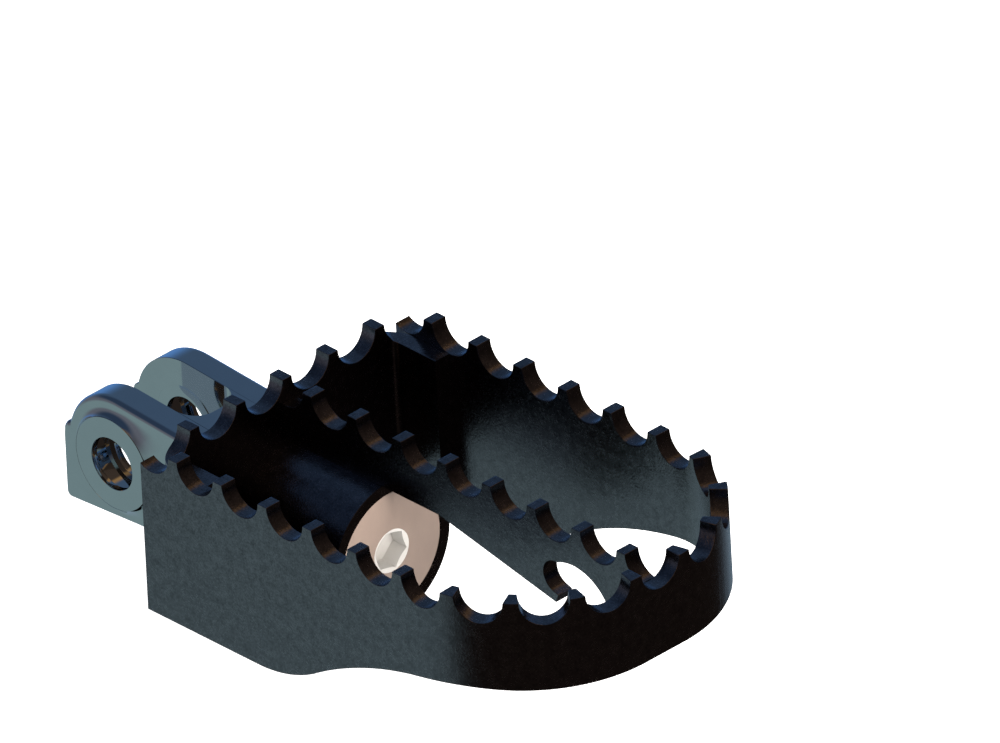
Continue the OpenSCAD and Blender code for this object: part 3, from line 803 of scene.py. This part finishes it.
# %% Floor
floor_mesh = bpy.data.meshes.new("floor")
FLOOR_HALF, FLOOR_Z = 3, -0.03
square = [(-1, -1), (1, -1), (1, 1), (-1, 1)]
floor_mesh.from_pydata([(x * FLOOR_HALF, y * FLOOR_HALF, FLOOR_Z) for x, y in square], [], [(0, 1, 2, 3)])
floor = bpy.data.objects.new("floor", floor_mesh)
bpy.context.scene.collection.objects.link(floor)
pale = bpy.data.materials.new("pale_floor")
pale.use_nodes = True
pale_shader = pale.node_tree.nodes["Principled BSDF"]
pale_shader.inputs["Base Color"].default_value = (0.92, 0.92, 0.92, 1)
pale_shader.inputs["Roughness"].default_value = 1.0
pale_shader.inputs["Specular IOR Level"].default_value = 0.0
pale_shader.inputs["Emission Color"].default_value = (1, 1, 1, 1)
pale_shader.inputs["Emission Strength"].default_value = 0.9
floor_mesh.materials.append(pale)
floor.visible_glossy = False
print("floor:", FLOOR_Z, "m, half width", FLOOR_HALF, "m")

# %% [markdown]
# Polished metal shows what surrounds it more than the lights, so the
# surroundings matter most: a room that is lit on the left and nearly dark on
# the right, with a warm glow between. The lit side is grey-green low in front,
# blue low behind, and a deeper blue above. Smooth steps of the direction's
# three components mix these colours.

# %% Room
world = bpy.data.worlds.new("room")
bpy.context.scene.world = world
world.use_nodes = True
room = world.node_tree
room.nodes.clear()


def ramp(value, low, high):
    """A smooth step of one direction component between two values."""
    node = room.nodes.new("ShaderNodeMapRange")
    node.interpolation_type = "SMOOTHSTEP"
    node.inputs["From Min"].default_value, node.inputs["From Max"].default_value = low, high
    room.links.new(value, node.inputs["Value"])
    return node.outputs["Result"]


def mix(factor, a, b):
    """Mixes two colours, each a socket or four numbers."""
    node = room.nodes.new("ShaderNodeMix")
    node.data_type = "RGBA"
    room.links.new(factor, node.inputs["Factor"])
    for socket, value in ((node.inputs[6], a), (node.inputs[7], b)):
        if isinstance(value, tuple):
            socket.default_value = value
        else:
            room.links.new(value, socket)
    return node.outputs[2]


direction = room.nodes.new("ShaderNodeTexCoord").outputs["Generated"]
split = room.nodes.new("ShaderNodeSeparateXYZ")
room.links.new(direction, split.inputs[0])
dx, dy, dz = split.outputs
front_low = mix(ramp(dz, -0.4, -0.05), (0.218, 0.315, 0.337, 1), (0.147, 0.158, 0.197, 1))
front = mix(ramp(dz, 0.0, 0.45), front_low, (0.03, 0.052, 0.098, 1))
back_low = mix(ramp(dz, -0.5, -0.22), (0.23, 0.32, 0.40, 1), (0.10, 0.25, 0.58, 1))
back = mix(ramp(dz, -0.15, 0.4), back_low, (0.06, 0.106, 0.185, 1))
lit = mix(ramp(dy, -0.25, 0.35), front, back)
glow = mix(ramp(dx, -0.26, -0.05), lit, (0.34, 0.20, 0.085, 1))
dark = mix(ramp(dz, 0.0, 0.9), (0.024, 0.0175, 0.0145, 1), (0.06, 0.042, 0.032, 1))
around = mix(ramp(dx, -0.04, 0.1), mix(ramp(dz, 0.1, 0.4), lit, glow), dark)
# the lit side fades before the dark side begins, low down
around = mix(ramp(dx, -0.45, 0.0), around, mix(ramp(dz, 0.0, 0.3), dark, around))
light_path = room.nodes.new("ShaderNodeLightPath")
seen = mix(light_path.outputs["Is Camera Ray"], around, (1, 1, 1, 1))
background = room.nodes.new("ShaderNodeBackground")
room.links.new(seen, background.inputs["Color"])
output = room.nodes.new("ShaderNodeOutputWorld")
room.links.new(background.outputs[0], output.inputs["Surface"])
print("room nodes:", len(room.nodes))

# %% [markdown]
# One big soft light hangs above and a warm one stands to the right. They light
# the bolt's matt disc. Polished metal would mirror them as hard white squares,
# so they are left out of reflections.

# %% Lights
def soft_light(name, place, aim, size, power, color):
    """A square area light that points from its place to its aim."""
    data = bpy.data.lights.new(name, "AREA")
    data.size, data.energy, data.color = size, power, color
    lamp = bpy.data.objects.new(name, data)
    lamp.location = place
    lamp.rotation_euler = (Vector(aim) - Vector(place)).to_track_quat("-Z", "Y").to_euler()
    lamp.visible_glossy = False
    bpy.context.scene.collection.objects.link(lamp)
    print("light:", name, power, "W")


middle = (0.05, 0, 0)
soft_light("overhead", (0.05, 0, 1.2), middle, 1.4, 15.0, (1, 1, 1))
soft_light("warm_side", (0.95, -0.15, 0.45), middle, 0.5, 20.0, (1.0, 0.94, 0.88))

# %% [markdown]
# The camera has no perspective. It looks down at the part from the right-hand
# front corner, and three directions at right angles turn it.

# %% Camera
right = Vector((0.69488, 0.71766, -0.04586))
upward = Vector((-0.34942, 0.39269, 0.85071))
toward = Vector((0.62853, -0.57512, 0.52364))
eye = bpy.data.objects.new("camera", bpy.data.cameras.new("camera"))
bpy.context.scene.collection.objects.link(eye)
eye.data.type = "ORTHO"
eye.data.ortho_scale = 0.15515
eye.data.clip_start, eye.data.clip_end = 0.01, 10
turned = Matrix((right, upward, toward)).transposed().to_4x4()
eye.matrix_world = Matrix.Translation(Vector((0.06363, 0.01323, 0.03179)) + toward * 0.6) @ turned
bpy.context.scene.camera = eye
bpy.context.scene.view_settings.view_transform = "Standard"
print("camera sees", round(eye.data.ortho_scale / MM, 1), "mm across")
